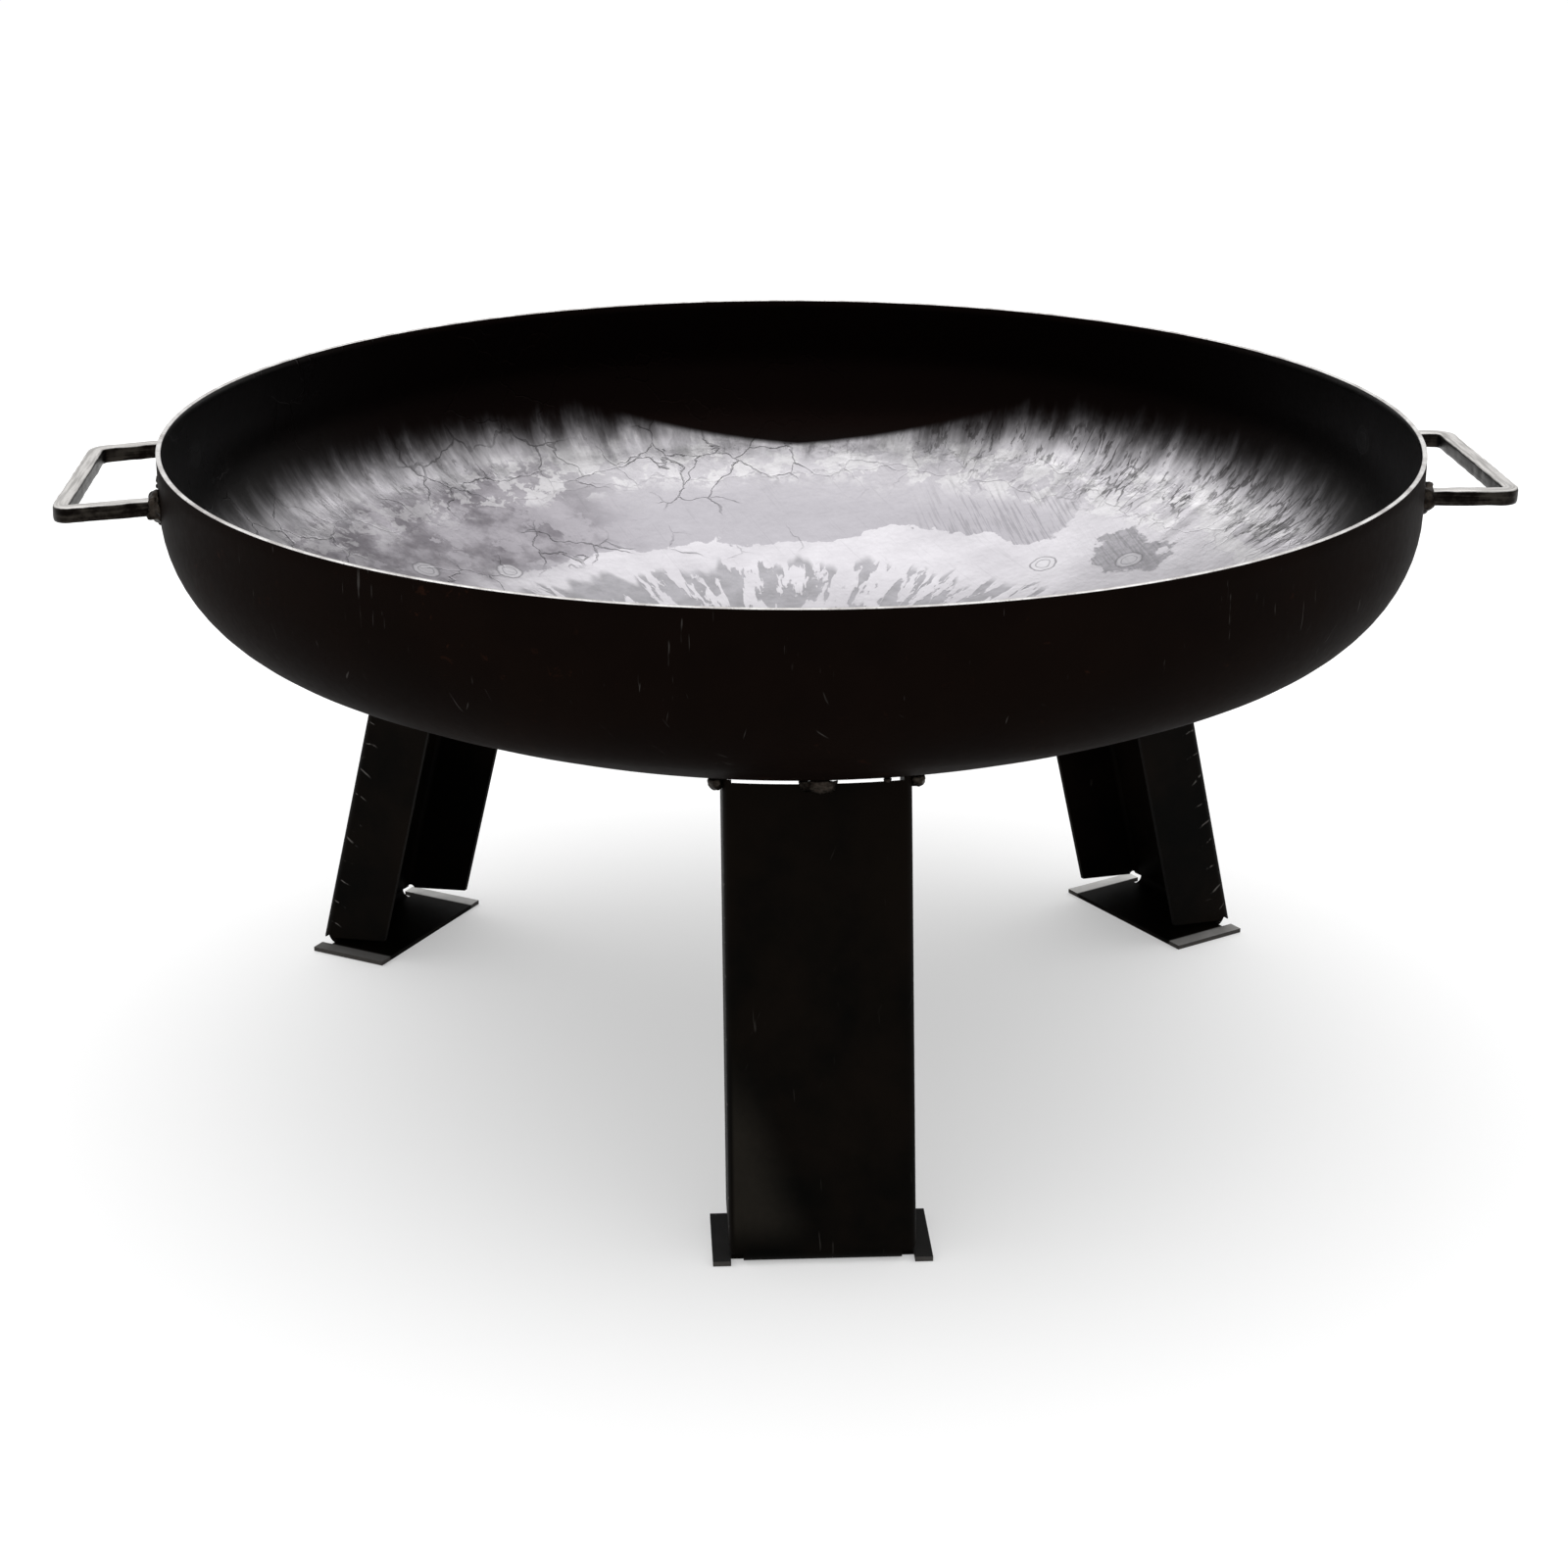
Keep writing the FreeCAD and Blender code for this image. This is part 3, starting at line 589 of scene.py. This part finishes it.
def profile(inner):
    """Points (radius, height, arc length) up the dish's inner or outer face, in mm, from centre to rim."""
    off = WALL if inner else 0.0
    crown, knuckle = CROWN_RADIUS - off, KNUCKLE_RADIUS - off
    counts = ((INNER_CROWN_RINGS, INNER_KNUCKLE_RINGS, INNER_WALL_RINGS) if inner
              else (OUTER_CROWN_RINGS, OUTER_KNUCKLE_RINGS, OUTER_WALL_RINGS))
    points = []
    for i in range(1, counts[0] + 1):
        a = TANGENT_ANGLE * i / counts[0]
        points.append((crown * math.sin(a), CROWN_CENTRE - crown * math.cos(a), crown * a))
    for i in range(1, counts[1] + 1):
        a = TANGENT_ANGLE + (math.pi / 2 - TANGENT_ANGLE) * i / counts[1]
        points.append((KNUCKLE_CENTRE[0] + knuckle * math.sin(a), KNUCKLE_CENTRE[1] - knuckle * math.cos(a),
                       crown * TANGENT_ANGLE + knuckle * (a - TANGENT_ANGLE)))
    r, low, arc = points[-1]
    top = RIM_HEIGHT - RIM_CHAMFER
    for i in range(1, counts[2] + 1):
        z = low + (top - low) * i / counts[2]
        points.append((r, z, arc + z - low))
    return points


def wrinkle_field(rng):
    """Random short wrinkles in the knuckle, as (azimuth in radians, then arc, length, width and height in mm)."""
    made = []
    for _ in range(WRINKLES):
        azimuth = rng.uniform(-math.pi, math.pi)
        near = math.exp(-((azimuth - math.radians(35.0)) / 0.35) ** 2)
        made.append((azimuth, rng.uniform(335.0, 392.0), rng.uniform(8.0, 19.0), rng.uniform(2.6, 5.2),
                     rng.uniform(-0.28, 0.28) * (0.6 + 1.3 * near)))
    return made


def relief(azimuths, arc, radius, wrinkles):
    """Height of the inner face above its true surface along one ring, in mm."""
    height = np.zeros(len(azimuths))
    for i, a in enumerate(azimuths):
        place = Vector((radius * math.cos(a), radius * math.sin(a), 0.0)) * 0.011
        height[i] = 0.35 * noise.noise(place) + 0.12 * noise.noise(place * 3.1)
    for azimuth, middle, length, width, tall in wrinkles:
        along = (arc - middle) / length
        if abs(along) > 2.2:
            continue
        across = radius * ((azimuths - azimuth + math.pi) % (2 * math.pi) - math.pi) / width
        height += tall * math.exp(-along * along) * np.exp(-across * across)
    return height


def ring_normal(arc):
    """Unit vector out of the inner face, as (outward, up)."""
    tangent_arc = (CROWN_RADIUS - WALL) * TANGENT_ANGLE
    if arc <= tangent_arc:
        a = arc / (CROWN_RADIUS - WALL)
    else:
        a = min(TANGENT_ANGLE + (arc - tangent_arc) / (KNUCKLE_RADIUS - WALL), math.pi / 2)
    return -math.sin(a), math.cos(a)


def tube_faces(rings, around):
    """The four-sided faces between rings of points that follow each other."""
    faces = []
    for j in range(rings - 1):
        for i in range(around):
            k = (i + 1) % around
            faces.append((j * around + i, j * around + k, (j + 1) * around + k, (j + 1) * around + i))
    return faces


def fire_bowl():
    """The dish as one closed skin: inside with its relief, the cut rim, and the outside."""
    wrinkles = wrinkle_field(random.Random(11))
    inner, outer = profile(True), profile(False)
    azimuths = np.arange(SPOKES) * 2 * math.pi / SPOKES
    cos, sin = np.cos(azimuths), np.sin(azimuths)
    rings, arcs = [], []
    for r, z, arc in inner:
        calm = min(1.0, max(0.0, (RIM_HEIGHT - z) / 25.0)) * min(1.0, arc / 40.0)
        lift = relief(azimuths, arc, r, wrinkles) * calm
        out, up = ring_normal(arc)
        rings.append(np.stack([(r + lift * out) * cos, (r + lift * out) * sin, z + lift * up], 1))
        arcs.append(arc)
    for r in (inner[-1][0] + RIM_CHAMFER, outer[-1][0] - RIM_CHAMFER):
        rings.append(np.stack([r * cos, r * sin, np.full(SPOKES, RIM_HEIGHT)], 1))
        arcs.append(inner[-1][2] + 1.0)
    for r, z, arc in reversed(outer):
        rings.append(np.stack([r * cos, r * sin, np.full(SPOKES, z)], 1))
        arcs.append(arc)
    points = np.concatenate(rings) * MM
    centre_in, centre_out = len(points), len(points) + 1
    points = np.concatenate([points, [[0, 0, (CROWN_CENTRE - CROWN_RADIUS + WALL) * MM],
                                      [0, 0, (CROWN_CENTRE - CROWN_RADIUS) * MM]]])
    faces = tube_faces(len(rings), SPOKES)
    slots = []
    for j in range(len(rings) - 1):
        slots += [INSIDE if j < len(inner) - 1 else EDGE if j < len(inner) + 2 else OUTSIDE] * SPOKES
    last = (len(rings) - 1) * SPOKES
    for i in range(SPOKES):
        k = (i + 1) % SPOKES
        faces += [(centre_in, k, i), (centre_out, last + i, last + k)]
        slots += [INSIDE, OUTSIDE]
    mesh = bpy.data.meshes.new("fire_bowl_skin")
    mesh.from_pydata(points.tolist(), [], faces)
    values = np.concatenate([np.repeat(np.array(arcs) * MM, SPOKES), [0.0, 0.0]]).astype(np.float32)
    mesh.attributes.new("arc", "FLOAT", "POINT").data.foreach_set("value", values)
    mesh.polygons.foreach_set("material_index", slots)
    mesh.polygons.foreach_set("use_smooth", [True] * len(faces))
    fix_normals(mesh)
    return mesh


def fix_normals(mesh):
    bm = bmesh.new()
    bm.from_mesh(mesh)
    bmesh.ops.recalc_face_normals(bm, faces=bm.faces)
    bm.to_mesh(mesh)
    bm.free()


def add_piece(name, mesh, materials, node):
    """Puts a mesh in the scene as a piece that rides on the root and stands for a CAD node."""
    piece = bpy.data.objects.new(name, mesh)
    bpy.context.scene.collection.objects.link(piece)
    for material in materials:
        mesh.materials.append(material)
    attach(piece, "root")
    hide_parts(node)
    return piece


def rounded(corners, radius, steps):
    """A line through the corner points, with each inner corner turned into a smooth bend."""
    points = [corners[0]]
    for before, corner, after in zip(corners, corners[1:], corners[2:]):
        start = corner + (before - corner).normalized() * radius
        end = corner + (after - corner).normalized() * radius
        for i in range(steps + 1):
            t = i / steps
            points.append(start * (1 - t) ** 2 + corner * 2 * t * (1 - t) + end * t * t)
    return [*points, corners[-1]]


def resampled(points, spacing):
    """The same line with extra points, so that none are further apart than spacing."""
    made = [points[0]]
    for a, b in zip(points, points[1:]):
        count = max(1, math.ceil((b - a).length / spacing))
        made += [a.lerp(b, i / count) for i in range(1, count + 1)]
    return made


def bar_section():
    """Points round a square section with rounded edges: (across, upward, distance round it), in mm."""
    section = []
    for i in range(SECTION_POINTS):
        a = 2 * math.pi * (i + 0.5) / SECTION_POINTS
        c, d = math.cos(a), math.sin(a)
        size = (abs(c) ** SECTION_POWER + abs(d) ** SECTION_POWER) ** (-1.0 / SECTION_POWER)
        section.append((c * size * BAR / 2, d * size * BAR / 2, (a / (2 * math.pi)) * 4 * BAR))
    return section


def bar_ring(at, forward, section, shift):
    """One ring of the bar, a little twisted, off its line and uneven, as hand work is."""
    across = forward.cross(Vector((0, 0, 1))).normalized()
    upward = across.cross(forward).normalized()
    turn = Matrix.Rotation(TWIST * noise.noise(at * 0.02 + shift), 3, forward)
    off = WANDER * Vector((noise.noise(at * 0.03 + shift), noise.noise(at * 0.031 - shift), 0.0))
    ring = []
    for u, v, _ in section:
        spoke = turn @ (across * u + upward * v)
        place = at + off + spoke
        ring.append(place + spoke.normalized() * UNEVEN * noise.noise(place * 0.13 + shift))
    return ring


def bent_bar(side, grip_front, grip_back, wall_lift, seed):
    """A handle: square bar bent by hand into a U. Sizes in mm."""
    arm, z = HANDLE_WELD_Y / MM, HANDLE_WELD_Z / MM
    corners = [Vector((side * BAR_END, -arm, z + wall_lift)), Vector((side * grip_front, -arm, z)),
               Vector((side * grip_back, arm, z)), Vector((side * BAR_END, arm, z + wall_lift))]
    path = resampled(rounded(corners, BEND, BEND_STEPS), BAR_SPACING)
    shift = Vector((seed * 5.3, seed * 2.9, 0.0))
    section = bar_section()
    points, along = [], []
    travelled = 0.0
    for j, at in enumerate(path):
        ahead, behind = path[min(j + 1, len(path) - 1)], path[max(j - 1, 0)]
        travelled += (at - behind).length
        points += [place * MM for place in bar_ring(at, (ahead - behind).normalized(), section, shift)]
        along += [travelled * MM] * SECTION_POINTS
    around = [distance * MM for _, _, distance in section] * len(path)
    faces = tube_faces(len(path), SECTION_POINTS)
    last = (len(path) - 1) * SECTION_POINTS
    faces += [tuple(range(SECTION_POINTS)), tuple(range(last, last + SECTION_POINTS))]
    mesh = bpy.data.meshes.new("bent_bar")
    mesh.from_pydata([tuple(q) for q in points], [], faces)
    mesh.attributes.new("along", "FLOAT", "POINT").data.foreach_set("value", along)
    mesh.attributes.new("around", "FLOAT", "POINT").data.foreach_set("value", around)
    mesh.polygons.foreach_set("use_smooth", [True] * len(faces))
    fix_normals(mesh)
    return mesh


def add_spatter(mesh, side, count, seed):
    """Drops of weld metal stuck on the wall between a handle's arms, joined to the bead's mesh."""
    rng = random.Random(seed)
    bm = bmesh.new()
    bm.from_mesh(mesh)
    for _ in range(count):
        y = rng.uniform(-64.0, 60.0)
        z = HANDLE_WELD_Z / MM + rng.uniform(-13.0, 20.0)
        x = side * math.sqrt(BOWL_RADIUS**2 - y * y)
        size = rng.uniform(0.8, 2.1)
        shape = Vector((size * 0.8, size * rng.uniform(0.8, 1.4), size * rng.uniform(0.8, 1.6))) * MM
        grown = Matrix.Translation(Vector((x, y, z)) * MM) @ Matrix.Diagonal((*shape, 1.0))
        bmesh.ops.create_icosphere(bm, subdivisions=2, radius=1.0, matrix=grown)
    bm.to_mesh(mesh)
    bm.free()
    mesh.polygons.foreach_set("use_smooth", [True] * len(mesh.polygons))


def lumpy_weld(source, seed, lump, ripple, lift):
    """A bead with real lumps: the CAD bead's shape, remeshed finely, pushed about by noise and lifted (mm)."""
    holder = bpy.data.objects.new("weld_work", source.data.copy())
    bpy.context.scene.collection.objects.link(holder)
    remesh = holder.modifiers.new("remesh", "REMESH")
    remesh.mode = "VOXEL"
    remesh.voxel_size = VOXEL * MM
    evaluated = holder.evaluated_get(bpy.context.evaluated_depsgraph_get())
    mesh = bpy.data.meshes.new_from_object(evaluated)
    bpy.data.objects.remove(holder)
    mesh.materials.clear()
    centre = sum((v.co for v in mesh.vertices), Vector()) / len(mesh.vertices)
    shift = Vector((seed * 3.7, seed * 1.3, seed * 2.1))
    for v, n in [(v, v.normal.copy()) for v in mesh.vertices]:
        place = (v.co - centre) / MM
        low = noise.noise(place * 0.16 + shift)
        high = noise.noise(place * 0.55 + shift)
        v.co += n * (lump * low + ripple * high) * MM
        v.co.z += lift * MM
    mesh.polygons.foreach_set("use_smooth", [True] * len(mesh.polygons))
    mesh.update()
    return mesh


# ---------------------------------------------------------------- stage

def add_floor():
    half = FLOOR_HALF
    mesh = bpy.data.meshes.new("floor")
    corners = [(-half, -half, 0), (half, -half, 0), (half, half, 0), (-half, half, 0)]
    mesh.from_pydata(corners, [], [(0, 1, 2, 3)])
    floor = bpy.data.objects.new("floor", mesh)
    bpy.context.scene.collection.objects.link(floor)
    s = Shader("floor_paper", Roughness=0.9, Specular_IOR_Level=0.0)
    s.set("Base Color", (FLOOR_GREY, FLOOR_GREY, FLOOR_GREY, 1.0))
    s.set("Emission Color", (1.0, 1.0, 1.0, 1.0))
    s.set("Emission Strength", FLOOR_GLOW)
    mesh.materials.append(s.material)
    floor.location.z = -FLOOR_DROP


def add_softbox():
    """A rectangular light of even radiance above the object."""
    light = bpy.data.lights.new("softbox", "AREA")
    light.shape = "RECTANGLE"
    light.size, light.size_y = SOFTBOX_SIZE
    light.energy = SOFTBOX_RADIANCE * SOFTBOX_SIZE[0] * SOFTBOX_SIZE[1] * math.pi
    lamp = bpy.data.objects.new("softbox", light)
    lamp.location = SOFTBOX_PLACE
    down = Vector(SOFTBOX_TARGET) - Vector(SOFTBOX_PLACE)
    lamp.rotation_euler = down.to_track_quat("-Z", "Y").to_euler()
    bpy.context.scene.collection.objects.link(lamp)


def add_world(colour):
    world = bpy.data.worlds.new("studio")
    world.use_nodes = True
    world.node_tree.nodes["Background"].inputs[0].default_value = (*colour, 1.0)
    bpy.context.scene.world = world


def add_camera():
    camera = bpy.data.cameras.new("camera")
    camera.lens, camera.sensor_width = CAMERA_LENS, CAMERA_SENSOR
    eye = bpy.data.objects.new("camera", camera)
    eye.location = CAMERA_PLACE
    eye.rotation_euler = [math.radians(angle) for angle in CAMERA_TURN]
    bpy.context.scene.collection.objects.link(eye)
    bpy.context.scene.camera = eye


def dress_legs(nodes):
    """The legs stay as the CAD made them, each with its own material."""
    for name, angle in LEG_ANGLES.items():
        leg = nodes["leg_" + name]
        leg.data.materials.clear()
        leg.data.materials.append(leg_steel(name, angle))


def add_handles():
    bar = bare_bar()
    for seed, (name, (side, front, back, lift)) in enumerate(HANDLES.items()):
        add_piece("handle_" + name + "_bar", bent_bar(side, front, back, lift, seed + 3), [bar],
                  "handle_" + name)


def add_welds(nodes):
    weld = weld_metal()
    welds = sorted(n for n in nodes if "_weld_" in n or n.endswith("_tack"))
    for seed, name in enumerate(welds):
        lump, ripple, lift = LEG_LUMP, RIPPLE, 0.0
        if name.endswith("_tack"):
            lump, ripple = TACK_LUMP, TACK_RIPPLE
        elif name.startswith("handle"):
            lump, lift = HANDLE_LUMP, HANDLES[name.split("_")[1]][3] * BEAD_LIFT
        mesh = lumpy_weld(nodes[name], seed + 1, lump, ripple, lift)
        if name == "handle_left_weld_front":
            add_spatter(mesh, -1, SPATTER_DROPS, 5)
        add_piece(name + "_bead", mesh, [weld], name)


def main():
    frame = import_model()
    nodes = frame["nodes"]
    bpy.context.scene.view_settings.view_transform = "Standard"
    add_piece("fire_bowl_dish", fire_bowl(), [inside_steel(), cut_edge(), outside_steel()],
              "fire_bowl")
    dress_legs(nodes)
    add_handles()
    add_welds(nodes)
    add_floor()
    add_softbox()
    add_world((1.0, 1.0, 1.0))
    add_camera()


main()
